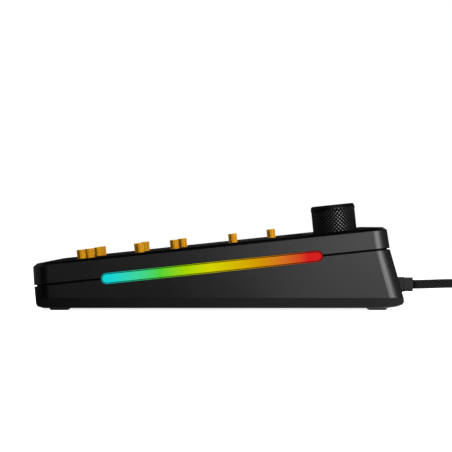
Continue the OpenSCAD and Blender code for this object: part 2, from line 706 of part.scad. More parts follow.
// One housing: base, screw boss, hook, clip for the wire and the tower that guides the stem.
// inner is the side, in x, on which the wire runs on to the other housing.
module housing(inner) {
    difference() {
        union() {
            translate([-3.4, -8, 0.05]) cube([6.8, 16.1, base_h - 0.05]);
            translate([-house_w / 2, -3.6, 0.05]) cube([house_w, 7.1, house_top_h - 0.05]);
            translate([-2.4, stab_screw_t - 2.9, 0.05]) cube([4.8, 4.8, 3.15]);
            translate([0, hook_t, -board_t - 0.7]) cylinder(d = hook_hole_d - 0.5, h = board_t + 1);
            translate([inner > 0 ? 1.8 : -3.4, -10.6, 0.05]) cube([1.6, 2.8, 3.1]);
        }
        translate([-stem_w / 2 - slide_gap, -stem_l / 2 - slide_gap, -1])
            cube([stem_w + 2 * slide_gap, stem_l + 2 * slide_gap, stem_body_top + 1.15]);
        translate([0, 0, 10]) cube([cross_w + 0.4, cross_w + 0.4, 4], center = true);
        translate([-1.15, -8.5, 0.6]) cube([2.3, 6.5, 5.4]);
        translate([0, stab_screw_t, -1]) cylinder(d = stab_screw_d + 0.1, h = 3.8);
        translate([inner * 2.6, -stab_reach, bar_h]) {
            rotate([0, 90, 0]) cylinder(d = wire_d + 0.14, h = 3, center = true);
            translate([0, 0, 1]) cube([3, 1.3, 2], center = true);
        }
    }
}

module stabilizer_housings() color("#202124") on_board()
    for (s = STABS) translate([unit_x(s[1]), row_t(s[2]), 0]) rotate(s[4] ? -90 : 0)
        for (x = [-1, 1]) translate([x * s[3], 0, 0]) housing(-x);

module stabilizer_screws() color("#888a8e") on_board() at_stabs()
    translate([0, stab_screw_t, -board_t]) cross_screw(stab_screw_d, board_t + 2.4, 3.4, 1.1);

module on_key(s) on_board() translate([unit_x(s[1]), row_t(s[2]), 0]) rotate(s[4] ? -90 : 0) children();

// A stem at the top of its travel: guided body with a hooked slot for the wire, and the cross
module stem(s, k) color("#d79a1e") on_key(s) translate([(k * 2 - 1) * s[3], 0, 0]) {
    difference() {
        translate([-stem_w / 2, -stem_l / 2, stem_foot_h])
            cube([stem_w, stem_l, stem_body_top - stem_foot_h]);
        translate([-1, 0, stem_bore_h]) rotate([90, 0, 90]) linear_extrude(2) polygon([
            [-3, -2], [-1.05, -2], [-1.05, -1.42], [0, -1], [1.25, -1], [1.25, 1.25], [-3, 1.25],
        ]);
    }
    translate([0, 0, stem_body_top - eps]) linear_extrude(stem_top_h - stem_body_top + eps) {
        square([cross_w, cross_t], center = true);
        square([cross_t, cross_w], center = true);
    }
}

// The wire turns on its long bar, and its legs rise into the stems
module wire(s) color("#b0b2b6") on_key(s) translate([0, -stab_reach, bar_h]) rotate([leg_rest, 0, 0]) {
    bend = wire_d;
    rotate([0, 90, 0]) cylinder(d = wire_d, h = 2 * (s[3] - bend), center = true);
    for (x = [-1, 1]) scale_x(x) {
        translate([s[3] - bend, bend, 0]) rotate([0, 0, -90])
            rotate_extrude(angle = 90) translate([bend, 0]) circle(d = wire_d);
        translate([s[3], bend, 0]) rotate([-90, 0, 0]) cylinder(d = wire_d, h = leg_l - bend);
    }
}

module scale_x(x) if (x < 0) mirror([1, 0, 0]) children(); else children();

// The plug in the back of the case, with a slightly thicker collar at the wall
module cable_plug() color("#2b2c2e") translate([port_x, 0, port_z]) rotate([-90, 0, 0]) {
    translate([0, 0, plug_face])
        linear_extrude(port_back + 8.4 - plug_face) rounded(plug_w + 0.4, plug_h + 0.4, 2.2);
    translate([0, 0, port_back + 8.4 - eps])
        linear_extrude(plug_end - port_back - 8.4) rounded(plug_w, plug_h, 2);
}

module cable_plug_shell() color("#c0c2c6") translate([port_x, plug_face, port_z]) rotate([90, 0, 0]) {
    linear_extrude(6.4) difference() {
        rounded(8.2, 2.5, 1.2);
        rounded(7.6, 1.9, 0.9);
    }
}

module cable_lead() color("#26272a") tube(LEAD_ROUTE, cord_d, 8);
module cable_coil() color("#26272a") tube(COIL_ROUTE, cord_d, 6);

// A strap round the bundle on the coil's left side
module cable_tie() color("#1c1c1e") {
    inside_w = coil_turns * coil_pitch + 0.9;
    inside_h = coil_layers * coil_pitch + 0.2;
    strap_t = 0.8;
    strap_w = 8;
    translate([coil_x - coil_r, coil_y + strap_w / 2, strap_t + inside_h / 2]) rotate([90, 0, 0])
        linear_extrude(strap_w) difference() {
            rounded(inside_w + 2 * strap_t, inside_h + 2 * strap_t, 2.4);
            rounded(inside_w, inside_h, 1.6);
        }
}

module at_tail() translate(tail_end) rotate([0, 0, tail_angle]) rotate([-90, 0, 0]) children();

module end_plug() color("#2b2c2e") at_tail() linear_extrude(28) rounded(15.6, end_plug_h, 2);
// The far plug's shell, with its contact tongue inside
module end_plug_shell() color("#c0c2c6") at_tail() translate([0, 0, 28]) {
    difference() {
        linear_extrude(14) rounded(12, 4.5, 0.5);
        translate([0, 0, 1]) linear_extrude(14) rounded(11.4, 3.9, 0.3);
    }
    translate([-5.2, 0.05, 0.5]) cube([10.4, 1.7, 12.5]);
}

function unit(v) = v / norm(v);
function heading(p, i) = unit(p[min(i + 1, len(p) - 1)] - p[max(i - 1, 0)]);

// A tube swept along a route that is nowhere upright
module tube(route, d, sides) {
    last = len(route) - 1;
    points = [for (i = [0 : last])
        let (h = heading(route, i), right = unit(cross(h, [0, 0, 1])), up = cross(right, h))
        for (k = [0 : sides - 1]) let (a = 360 * k / sides) route[i] + d / 2 * (cos(a) * right + sin(a) * up)];
    walls = [for (i = [0 : last - 1], k = [0 : sides - 1])
        let (a = i * sides + k, b = i * sides + (k + 1) % sides)
        each [[a, b, b + sides], [a, b + sides, a + sides]]];
    ends = [for (k = [1 : sides - 2])
        each [[0, k + 1, k], [last * sides, last * sides + k, last * sides + k + 1]]];
    polyhedron(points, concat(walls, ends));
}

top_case();
bottom_case();
switch_plate();
plate_foam();
circuit_board();
controller_chip();
hot_swap_sockets();
case_foam();
upper_gaskets();
lower_gaskets();
light_strip_right();
light_strip_left();
light_board_right();
light_board_left();
light_leads();
encoder_body();
encoder_button();
encoder_shaft();
knob();
knob_insert();
daughter_board();
usb_socket();
board_jumper();
case_screws();
spacers();
board_screws();
rubber_feet();
stabilizer_housings();
stabilizer_screws();
cable_plug();
cable_plug_shell();
cable_lead();
cable_coil();
cable_tie();
end_plug();
end_plug_shell();
for (s = STABS, k = [0, 1]) stem(s, k);
for (s = STABS) wire(s);
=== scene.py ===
# %% [markdown]
# # A barebone keyboard kit
# The frame holds every part at its real size and place, in metres.
# This lesson adds what a solid model can't show: finishes, knurling, braid, light and small lamps.
# Right of the keyboard is +X, its back is +Y, and its feet stand on z = 0.

# %% Load the frame
import json
import math

import bmesh
import bpy
from mathutils import Matrix, Vector


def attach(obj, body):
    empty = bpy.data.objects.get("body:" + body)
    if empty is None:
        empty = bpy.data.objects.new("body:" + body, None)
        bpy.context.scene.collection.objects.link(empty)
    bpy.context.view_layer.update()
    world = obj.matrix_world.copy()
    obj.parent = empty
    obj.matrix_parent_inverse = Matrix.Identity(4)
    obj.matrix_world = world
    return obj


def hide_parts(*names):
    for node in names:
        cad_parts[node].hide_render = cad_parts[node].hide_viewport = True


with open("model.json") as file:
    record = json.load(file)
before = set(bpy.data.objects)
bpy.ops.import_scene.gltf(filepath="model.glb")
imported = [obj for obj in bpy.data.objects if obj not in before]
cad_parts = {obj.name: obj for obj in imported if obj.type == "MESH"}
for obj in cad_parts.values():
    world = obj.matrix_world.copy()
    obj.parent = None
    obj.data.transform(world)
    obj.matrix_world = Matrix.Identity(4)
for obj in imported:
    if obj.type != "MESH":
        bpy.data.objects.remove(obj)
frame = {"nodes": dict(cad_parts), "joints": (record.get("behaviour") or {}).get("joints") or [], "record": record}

nodes = frame["nodes"]
joints = {j["name"]: j for j in frame["joints"]}
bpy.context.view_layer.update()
MM = 0.001
print("nodes:", len(nodes), "joints:", len(joints))

# %% [markdown]
# ## The camera
# The photograph looks level at the right-hand side through a long lens, so depth is almost flat.
# The distance and the lens come from how much smaller the far stems look than the near ones.

# %% Camera
FRAME_PX = 452
LENS_PX = 6762
SENSOR_MM = 36
EYE = Vector((2.9548, 0.00299, 0.0341))

camera_data = bpy.data.cameras.new("camera")
camera_data.sensor_width = SENSOR_MM
camera_data.lens = LENS_PX / FRAME_PX * camera_data.sensor_width
camera_data.clip_start = 0.05
camera_data.clip_end = 40
camera = bpy.data.objects.new("camera", camera_data)
camera.location = EYE
camera.rotation_euler = (math.radians(90), 0, math.radians(90))
bpy.context.scene.collection.objects.link(camera)
bpy.context.scene.camera = camera
bpy.context.scene.view_settings.view_transform = "Standard"
print("lens in mm:", round(camera_data.lens, 1))

# %% [markdown]
# ## Directions on the deck
# The deck slopes, and everything on it is square to that slope.
# The knob's own joint knows the slope's normal and a point on the deck, so both are read there.

# %% Deck directions
KNOB_FOOT = Vector(joints["knob_turn"]["pos_m"])
UP = Vector(joints["knob_turn"]["axis"])
ACROSS = Vector((1, 0, 0))
BACK = UP.cross(ACROSS)
KNOB_ROW = 101.2 * MM


def deck(x, along, above):
    """A point by its place across the deck, up the slope from the front keys, and above the bezel."""
    middle = KNOB_FOOT - ACROSS * KNOB_FOOT.x
    return Vector((x, 0, 0)) + middle + BACK * (along - KNOB_ROW) + UP * above


def deck_matrix(x, along, above):
    turn = Matrix((ACROSS, BACK, UP)).transposed().to_4x4()
    return Matrix.Translation(deck(x, along, above)) @ turn


print("slope in degrees:", round(math.degrees(math.asin(BACK.z)), 2))

# %% [markdown]
# ## The cable
# A braided lead leaves the plug, sinks to the desk, and the rest of its 1.8 m is wound in a coil.
# The first stretch follows listed points. The coil is a formula: three turns in, a step up,
# three turns out, and so on for four layers, then one falling turn out to the far plug.

# %% The cable's route
CORD_D = 4.0 * MM
LEAD_X = -70
LEAD_Y_Z = [
    (86.47, 8), (89, 8.02), (92, 8.08), (95, 8.18), (98, 8.3), (101, 8.38),
    (104, 8.4), (107, 8.25), (110, 7.9), (113, 7.3), (116, 6.5), (119, 5.6),
    (122, 4.7), (125, 3.9), (128, 3.3), (131, 3), (133.5, 2.9), (136, 2.9),
]
LEAD = [(LEAD_X, y, z) for y, z in LEAD_Y_Z]
TURNS, LAYERS, STEPS = 3, 4, 24
PITCH = 4.45
MEAN_RADIUS = 22
OUTER = MEAN_RADIUS + PITCH * TURNS / 2
LOW = 2.9
COIL_X = LEAD[-1][0] - OUTER
COIL_Y = LEAD[-1][1] + 4
PLUG_Z = 4.0
TAIL = 1 / 3
TAIL_RUN = 20
WIDENED = 0.19
FALL_FROM = 0.07


def ease(x):
    x = min(1, max(0, x))
    return x * x * (3 - 2 * x)


def coil_point(turn):
    angle = math.tau * turn
    over = turn - TURNS * LAYERS
    if over > 0:
        radius = OUTER + PITCH * ease(over / WIDENED)
        top = LOW + (LAYERS - 1) * PITCH
        height = top - (top - PLUG_Z) * ease((over - FALL_FROM) / (TAIL - FALL_FROM))
    else:
        layer = min(LAYERS - 1, int(turn // TURNS))
        inward = turn - layer * TURNS
        radius = OUTER - PITCH * (inward if layer % 2 == 0 else TURNS - inward)
        height = LOW + PITCH * sum(ease((turn - k * TURNS) * 2 + 0.5) for k in range(1, LAYERS))
    return (COIL_X + radius * math.cos(angle), COIL_Y + radius * math.sin(angle), height)


coil = [coil_point(k / STEPS) for k in range(int((TURNS * LAYERS + TAIL) * STEPS) + 1)]
away = (-math.sin(math.tau * TAIL), math.cos(math.tau * TAIL))
tail = []
for k in (1, 2, 3):
    x, y = (coil[-1][axis] + away[axis] * TAIL_RUN * k / 3 for axis in (0, 1))
    tail.append((x, y, PLUG_Z))
bridge = (LEAD[-1][0], LEAD[-1][1] + 2, LEAD[-1][2])
route = [Vector(p) * MM for p in LEAD + [bridge] + coil + tail]

# %% [markdown]
# A tube is one circle, extruded ring by ring along the route.
# Its map runs once round the cable and along its length in the same units, so a braid stays square.

# %% Cable tube


def add_piece(name, bm, body, slot, material, *replaced):
    """Puts a finished bmesh in the scene as one piece that rides on a body."""
    mesh = bpy.data.meshes.new(name)
    bm.to_mesh(mesh)
    bm.free()
    piece = bpy.data.objects.new(name, mesh)
    bpy.context.scene.collection.objects.link(piece)
    if material:
        mesh.materials.append(material)
    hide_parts(*replaced)
    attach(piece, body)
    return piece


def swept(path, radius, sides):
    """A closed tube along a path, with its map. Each new ring is known by the corners it came from."""
    bm = bmesh.new()
    ring = bmesh.ops.create_circle(bm, segments=sides, radius=radius)["verts"]
    ring.sort(key=lambda v: math.atan2(v.co.y, v.co.x) % math.tau)
    corners = {v: k for k, v in enumerate(ring)}
    rings = [sorted(ring, key=corners.get)]
    while len(rings) < len(path):
        edges = list({e for v in rings[-1] for e in v.link_edges if e.other_vert(v) in corners})
        old = {v.co.copy().freeze(): corners[v] for v in rings[-1]}
        made = bmesh.ops.extrude_edge_only(bm, edges=edges)["geom"]
        fresh = [g for g in made if isinstance(g, bmesh.types.BMVert)]
        corners = {v: old[v.co.copy().freeze()] for v in fresh}
        rings.append(sorted(fresh, key=corners.get))
        for v in fresh:
            v.co.z = len(rings) * radius
    place = {}
    for i, verts in enumerate(rings):
        ahead = (path[min(i + 1, len(path) - 1)] - path[max(i - 1, 0)]).normalized()
        right = ahead.cross(Vector((0, 0, 1))).normalized()
        top = right.cross(ahead)
        for k, v in enumerate(verts):
            angle = math.tau * k / sides
            v.co = path[i] + radius * (math.cos(angle) * right + math.sin(angle) * top)
            place[v] = (i, k)
    uv = bm.loops.layers.uv.new("UVMap")
    reach = [0]
    for a, b in zip(path, path[1:]):
        reach.append(reach[-1] + (b - a).length / (math.tau * radius))
    for face in bm.faces:
        seam = {place[v][1] for v in face.verts} == {0, sides - 1}
        for loop in face.loops:
            i, k = place[loop.vert]
            loop[uv].uv = ((k + (sides if seam and k == 0 else 0)) / sides, reach[i])
    for end in (rings[0], rings[-1]):
        bm.faces.new(end)
    for face in bm.faces:
        face.smooth = len(face.verts) == 4
    bmesh.ops.recalc_face_normals(bm, faces=bm.faces)
    return bm


CORD_SIDES = 16
tube = swept(route, CORD_D / 2, CORD_SIDES)
cable = add_piece("braided_cable", tube, "case", "braid", None, "cable_lead", "cable_coil")
print("cable faces:", len(cable.data.polygons))

# %% [markdown]
# ## Nodes for finishes
# A finish is a small network of shader nodes. These helpers keep each network short enough to read.

# %% Node helpers


def linear(r, g, b):
    """A colour as it is seen on a screen, 0 to 255, in the linear values that shaders use."""
    seen = [c / 255 for c in (r, g, b)]
    return tuple(c / 12.92 if c <= 0.04045 else ((c + 0.055) / 1.055) ** 2.4 for c in seen) + (1,)


def node(tree, kind, **settings):
    made = tree.nodes.new("ShaderNode" + kind)
    for name, value in settings.items():
        if hasattr(made, name):
            setattr(made, name, value)
        else:
            made.inputs[name.replace("_", " ")].default_value = value
    return made


def math_node(tree, operation, *terms):
    made = node(tree, "Math", operation=operation)
    for k, term in enumerate(terms):
        if isinstance(term, (int, float)):
            made.inputs[k].default_value = term
        else:
            tree.links.new(term, made.inputs[k])
    return made.outputs[0]


def new_group(name, inputs, outputs):
    """An empty node group with named sockets; each input has a default."""
    group = bpy.data.node_groups.new(name, "ShaderNodeTree")
    for label, default in inputs.items():
        kind = "NodeSocketVector" if default is None else "NodeSocketFloat"
        socket = group.interface.new_socket(label, in_out="INPUT", socket_type=kind)
        if default is not None:
            socket.default_value = default
    for label in outputs:
        group.interface.new_socket(label, in_out="OUTPUT", socket_type="NodeSocketFloat")
    return group, group.nodes.new("NodeGroupInput"), group.nodes.new("NodeGroupOutput")


def use_group(tree, group, vector=None, **values):
    made = tree.nodes.new("ShaderNodeGroup")
    made.node_tree = group
    for name, value in values.items():
        made.inputs[name.replace("_", " ")].default_value = value
    if vector is not None:
        tree.links.new(vector, made.inputs["Vector"])
    return made


def shader(name, colour, roughness, metallic=0.0):
    """A new material: its tree, its Principled shader and its Object coordinates."""
    material = bpy.data.materials.new(name)
    material.use_nodes = True
    tree = material.node_tree
    principled = tree.nodes["Principled BSDF"]
    principled.inputs["Base Color"].default_value = colour
    principled.inputs["Roughness"].default_value = roughness
    principled.inputs["Metallic"].default_value = metallic
    return material, tree, principled, node(tree, "TexCoord").outputs["Object"]


def mix_colour(tree, factor, a, b):
    made = node(tree, "Mix", data_type="RGBA")
    tree.links.new(factor, made.inputs["Factor"])
    for socket, colour in zip(("A", "B"), (a, b)):
        target = [s for s in made.inputs if s.name == socket and s.type == "RGBA"][0]
        if isinstance(colour, tuple):
            target.default_value = colour
        else:
            tree.links.new(colour, target)
    return [s for s in made.outputs if s.type == "RGBA"][0]


def spread(tree, value, low, high):
    """Maps 0 to 1 onto low to high."""
    made = node(tree, "MapRange")
    tree.links.new(value, made.inputs["Value"])
    made.inputs["To Min"].default_value = low
    made.inputs["To Max"].default_value = high
    return made.outputs["Result"]


def bumps(tree, principled, height, strength, distance):
    made = node(tree, "Bump", Strength=strength, Distance=distance)
    tree.links.new(height, made.inputs["Height"])
    tree.links.new(made.outputs["Normal"], principled.inputs["Normal"])


print("node helpers are ready")

# %% [markdown]
# ## Grain
# Blasted metal, moulded plastic and rubber all have a fine grain under broad, faint patches.
# One group makes both, and each material sets its own size.

# %% Grain group
GRAIN_INPUTS = {"Vector": None, "Grain": 3000, "Patches": 25}
grain_group, inside, out = new_group("surface grain", GRAIN_INPUTS, ["Fine", "Broad"])
fine = node(grain_group, "TexNoise", Detail=3, Roughness=0.65)
broad = node(grain_group, "TexNoise", Detail=4, Roughness=0.55)
for texture, scale in ((fine, "Grain"), (broad, "Patches")):
    grain_group.links.new(inside.outputs["Vector"], texture.inputs["Vector"])
    grain_group.links.new(inside.outputs[scale], texture.inputs["Scale"])
grain_group.links.new(fine.outputs["Fac"], out.inputs["Fine"])
grain_group.links.new(broad.outputs["Fac"], out.inputs["Broad"])
print("group:", grain_group.name)

# %% [markdown]
# ## Braid
# Two families of strands wind round the cable in opposite ways and pass over and under each other.
# Two slanted coordinates count the strands, and their whole parts say which family is on top.

# %% Braid group
THREADS_PER_STRAND = 4
THREAD_HEIGHT = 0.18
BRAID_INPUTS = {"Vector": None, "Strands": 8}
braid_group, inside, out = new_group("crossed braid", BRAID_INPUTS, ["Height", "Crown", "Threads"])
split = node(braid_group, "SeparateXYZ")
braid_group.links.new(inside.outputs["Vector"], split.inputs[0])
round_it, down_it = split.outputs[0], split.outputs[1]
strands = inside.outputs["Strands"]
left = math_node(braid_group, "MULTIPLY", math_node(braid_group, "ADD", round_it, down_it), strands)
difference = math_node(braid_group, "SUBTRACT", round_it, down_it)
right = math_node(braid_group, "MULTIPLY", difference, strands)
whole_parts = [math_node(braid_group, "FLOOR", family) for family in (left, right)]
parity = math_node(braid_group, "FLOORED_MODULO", math_node(braid_group, "ADD", *whole_parts), 2)


def hump(tree, value):
    """Nought at a strand's edges and one along its middle."""
    part = math_node(tree, "FRACT", value)
    return math_node(tree, "SINE", math_node(tree, "MULTIPLY", part, math.pi))


def pick(tree, switch, low, high):
    """The low value where the switch is nought, and the high one where it is one."""
    kept = math_node(tree, "MULTIPLY", low, math_node(tree, "SUBTRACT", 1, switch))
    return math_node(tree, "MULTIPLY_ADD", high, switch, kept)


across = pick(braid_group, parity, hump(braid_group, left), hump(braid_group, right))
lengthwise = pick(braid_group, parity, hump(braid_group, right), hump(braid_group, left))
top_family = pick(braid_group, parity, left, right)
thread_count = math_node(braid_group, "MULTIPLY", top_family, THREADS_PER_STRAND)
threads = hump(braid_group, thread_count)
crown = math_node(braid_group, "MULTIPLY", math_node(braid_group, "POWER", across, 0.5), lengthwise)
height = math_node(braid_group, "MULTIPLY_ADD", threads, THREAD_HEIGHT, crown)
braid_group.links.new(height, out.inputs["Height"])
braid_group.links.new(crown, out.inputs["Crown"])
braid_group.links.new(threads, out.inputs["Threads"])
print("group:", braid_group.name)

# %% [markdown]
# ## Dark anodised metal
# The case, plate and knob are aluminium, blasted or turned, then dyed dark.
# Metal has no diffuse colour, so a dark Base Color with full Metallic gives near-black reflections.
# The tint sets how bright they are where the surface is seen almost edge-on.

# %% Anodised finishes
EDGE_TINT = (0.5, 0.5, 0.52, 1)


def scaled(colour, factor):
    """A colour made darker or paler."""
    return tuple(c * factor for c in colour[:3]) + (1,)


def vary(tree, principled, marks, roughness, below, above, colours, colour_mark):
    """Spreads a finish's roughness over one mark of the grain, and mixes two colours by a mark."""
    rough_mark = "Fine" if colour_mark == "Broad" else "Broad"
    rough = spread(tree, marks.outputs[rough_mark], roughness - below, roughness + above)
    tree.links.new(rough, principled.inputs["Roughness"])
    mixed = mix_colour(tree, marks.outputs[colour_mark], *colours)
    tree.links.new(mixed, principled.inputs["Base Color"])


def anodised(name, colour, roughness, grain, depth):
    material, tree, principled, place = shader(name, colour, roughness, metallic=1.0)
    principled.inputs["Specular Tint"].default_value = EDGE_TINT
    marks = use_group(tree, grain_group, place, Grain=grain, Patches=22)
    vary(tree, principled, marks, roughness, 0.05, 0.06, (colour, scaled(colour, 1.35)), "Fine")
    bumps(tree, principled, marks.outputs["Fine"], 0.25, depth)
    return material


case_finish = anodised("dark anodised case", linear(31, 31, 31), 0.36, 5200, 0.00002)
plate_finish = anodised("dark anodised plate", linear(46, 46, 48), 0.34, 6500, 0.000012)
knob_finish = anodised("black knurled metal", linear(16, 16, 17), 0.36, 7000, 0.000006)
print("anodised:", case_finish.name, plate_finish.name, knob_finish.name)

# %% [markdown]
# ## Plastics, foam and rubber
# These differ mostly in grain and in how broad their highlight is.

# %% Moulded finishes


def moulded(name, colour, roughness, grain, depth, strength=0.35, shine=0.5):
    material, tree, principled, place = shader(name, colour, roughness)
    principled.inputs["Specular IOR Level"].default_value = shine
    marks = use_group(tree, grain_group, place, Grain=grain, Patches=60)
    vary(tree, principled, marks, roughness, 0.07, 0.07, (scaled(colour, 0.75), colour), "Fine")
    bumps(tree, principled, marks.outputs["Fine"], strength, depth)
    return material


black_plastic = moulded("matt black plastic", linear(38, 38, 40), 0.45, 4500, 0.00003)
white_plastic = moulded("white plastic", linear(220, 220, 214), 0.4, 3500, 0.00002)
plug_plastic = moulded("dark grey overmould", linear(50, 50, 51), 0.7, 2600, 0.00006, shine=0.05)
rubber = moulded("matt black rubber", linear(26, 26, 26), 0.75, 2200, 0.00008)
sleeve = moulded("lead sleeve", linear(30, 30, 31), 0.6, 3000, 0.00003)
foam = moulded("open-cell foam", linear(54, 54, 56), 0.95, 1400, 0.0004, 0.9)
print("moulded finishes: 6")

# %% [markdown]
# The stems are a milky golden plastic with a dull shine and faint clouds of a deeper colour.
# A little subsurface light keeps their thin arms glowing.

# %% Amber plastic
DEEP_GOLD, PALE_GOLD = linear(205, 136, 2), linear(236, 178, 12)
amber, tree, principled, place = shader("golden amber plastic", linear(222, 164, 14), 0.26)
marks = use_group(tree, grain_group, place, Grain=900, Patches=120)
vary(tree, principled, marks, 0.4, 0.06, 0.06, (DEEP_GOLD, PALE_GOLD), "Broad")
bumps(tree, principled, marks.outputs["Fine"], 0.12, 0.00003)
principled.inputs["Subsurface Weight"].default_value = 0.15
principled.inputs["Subsurface Radius"].default_value = (0.0006, 0.0005, 0.0001)
principled.inputs["Subsurface Scale"].default_value = 1.0
principled.inputs["Specular IOR Level"].default_value = 0.08
print("finish:", amber.name)

# %% [markdown]
# ## Bare metals
# Drawn wire, stamped shells and turned brass are brighter, with a lengthwise streak.

# %% Bare metals


def bare_metal(name, colour, roughness, streak):
    material, tree, principled, place = shader(name, colour, roughness, metallic=1.0)
    stretched = node(tree, "Mapping")
    stretched.inputs["Scale"].default_value = streak
    tree.links.new(place, stretched.inputs["Vector"])
    marks = use_group(tree, grain_group, stretched.outputs[0], Grain=2500, Patches=150)
    vary(tree, principled, marks, roughness, 0.08, 0.1, (scaled(colour, 0.8), colour), "Broad")
    bumps(tree, principled, marks.outputs["Fine"], 0.15, 0.00001)
    return material


steel = bare_metal("drawn steel", linear(196, 197, 200), 0.3, (0.1, 1, 1))
black_steel = bare_metal("black oxide steel", linear(74, 74, 78), 0.36, (1, 1, 1))
shaft_metal = bare_metal("turned shaft", linear(200, 201, 204), 0.28, (1, 1, 0.1))
brass = bare_metal("turned brass", linear(214, 178, 106), 0.3, (1, 1, 0.1))
print("bare metals: 4")

# %% [markdown]
# ## Circuit board
# A dark solder mask covers copper tracks, which show as faint raised lines under it.
# Two sets of narrow bands, one each way, make the tracks, and noise breaks them up.

# %% Solder mask
board, tree, principled, place = shader("dark solder mask", linear(24, 40, 32), 0.35)
marks = use_group(tree, grain_group, place, Grain=1800, Patches=260)
split = node(tree, "SeparateXYZ")
tree.links.new(place, split.inputs[0])


def bands(tree, value, per_metre, share):
    """One in the first share of every band, else nought."""
    part = math_node(tree, "FRACT", math_node(tree, "MULTIPLY", value, per_metre))
    return math_node(tree, "LESS_THAN", part, share)


TRACKS_PER_METRE = 900
TRACK_SHARE = 0.3
MASK, MASK_ON_COPPER = linear(20, 34, 28), linear(38, 62, 48)
gate = math_node(tree, "GREATER_THAN", marks.outputs["Broad"], 0.5)
both_ways = [bands(tree, split.outputs[axis], TRACKS_PER_METRE, TRACK_SHARE) for axis in (0, 1)]
tracks = pick(tree, gate, *both_ways)
tree.links.new(mix_colour(tree, tracks, MASK, MASK_ON_COPPER), principled.inputs["Base Color"])
bumps(tree, principled, tracks, 0.4, 0.00003)
principled.inputs["Coat Weight"].default_value = 0.4
principled.inputs["Coat Roughness"].default_value = 0.15
print("finish:", board.name)

# %% [markdown]
# ## Braid finish
# The cable and the strap are woven. The cable uses its own map, and the strap its place.

# %% Woven finishes


def woven(name, dark, light, vector_name, strands, depth):
    material, tree, principled, place = shader(name, dark, 0.6)
    if vector_name == "UV":
        place = node(tree, "TexCoord").outputs["UV"]
    weave = use_group(tree, braid_group, place, Strands=strands)
    # painted highlight and painted shade: the strands' crowns take the light colour and the hollows between them
    # the dark one
    mixed = mix_colour(tree, weave.outputs["Crown"], dark, light)
    tree.links.new(mixed, principled.inputs["Base Color"])
    rough = spread(tree, weave.outputs["Threads"], 0.65, 0.42)
    tree.links.new(rough, principled.inputs["Roughness"])
    bumps(tree, principled, weave.outputs["Height"], 0.9, depth)
    principled.inputs["Specular IOR Level"].default_value = 0.06
    return material


# each pair is the painted shade in the hollows and the painted highlight on the crowns
braid = woven("black cable braid", linear(4, 4, 5), linear(29, 29, 30), "UV", 7, 0.00022)
strap = woven("woven strap", linear(12, 12, 13), linear(48, 48, 50), "Object", 900, 0.00015)
cable.data.materials.append(braid)
print("woven:", braid.name, strap.name)

# %% [markdown]
# ## Dressing the frame
# A frame node whose shape is right only needs its finish.

# %% Finishes by node
wires = [name for name in nodes if name.endswith("_wire")]
FINISHES = {
    plate_finish: ["switch_plate"],
    foam: ["plate_foam", "case_foam", "upper_gaskets", "lower_gaskets"],
    board: ["circuit_board", "daughter_board"],
    black_plastic: ["hot_swap_sockets", "stabilizer_housings", "knob_insert", "controller_chip"],
    steel: ["encoder_body", "usb_socket", "cable_plug_shell", "end_plug_shell"] + wires,
    shaft_metal: ["encoder_shaft"],
    brass: ["spacers"],
    black_steel: ["case_screws", "board_screws", "stabilizer_screws"],
    white_plastic: ["encoder_button", "light_board_right", "light_board_left"],
    sleeve: ["light_leads", "board_jumper"],
}
for finish, names in FINISHES.items():
    for name in names:
        nodes[name].data.materials.clear()
        nodes[name].data.materials.append(finish)
print("dressed nodes:", sum(len(names) for names in FINISHES.values()))

# %% [markdown]
# ## Softened edges
# A real edge is never perfectly sharp: blasting or moulding rolls over a fraction of a millimetre,
# and it is that sliver which catches the light. Each shell here is a merged copy of its frame node
# with a narrow bevel on every edge that turns more than 30 degrees. Creases of less than a degree
# are dissolved first, because they would show as a scratch in the reflections.

# %% Softened copies
SEAM = 1e-6
FLAT_DEGREES = 1.0
EDGE_DEGREES = 30


def merged(node_name, flat_degrees):
    """A copy of a frame node's mesh, joined at its seams, with its nearly flat creases dissolved."""
    bm = bmesh.new()
    bm.from_mesh(nodes[node_name].data)
    bmesh.ops.remove_doubles(bm, verts=bm.verts, dist=SEAM)
    flat = math.radians(flat_degrees)
    bmesh.ops.dissolve_limit(bm, angle_limit=flat, verts=bm.verts, edges=bm.edges)
    return bm


def softened(name, node_name, body, slot, material, width, segments=2):
    bm = merged(node_name, FLAT_DEGREES)
    for face in bm.faces:
        face.smooth = True
    piece = add_piece(name, bm, body, slot, material, node_name)
    bevel = piece.modifiers.new("rolled edges", "BEVEL")
    bevel.width = width
    bevel.segments = segments
    bevel.limit_method = "ANGLE"
    bevel.angle_limit = math.radians(EDGE_DEGREES)
    bevel.use_clamp_overlap = False
    weighted = piece.modifiers.new("flat faces stay flat", "WEIGHTED_NORMAL")
    weighted.mode = "FACE_AREA"
    weighted.weight = 50
    return piece


softened("upper_shell", "top_case", "case", "dark_anodised", case_finish, 0.25 * MM)
softened("lower_shell", "bottom_case", "case", "dark_anodised", case_finish, 0.15 * MM)
softened("feet", "rubber_feet", "case", "rubber_black", rubber, 0.25 * MM)
softened("plug_body", "cable_plug", "case", "plug_plastic", plug_plastic, 0.35 * MM, 3)
far_plug = softened("far_plug_body", "end_plug", "case", "plug_plastic", plug_plastic, 0.8 * MM, 3)
strap_loop = softened("strap_loop", "cable_tie", "case", "braid", strap, 0.15 * MM)
print("softened shells: 6")

# %% [markdown]
# The stems move in pairs, one joint for each wide key, so each copy rides on its own pair's body.

# %% Stems
bodies = frame["record"]["behaviour"]["bodies"]
stem_nodes = [(body, name) for body in bodies for name in bodies[body] if name.endswith("_stem")]
for body, name in stem_nodes:
    softened(name + "_moulded", name, body, "amber_plastic", amber, 0.12 * MM)
print("stems:", len(stem_nodes))
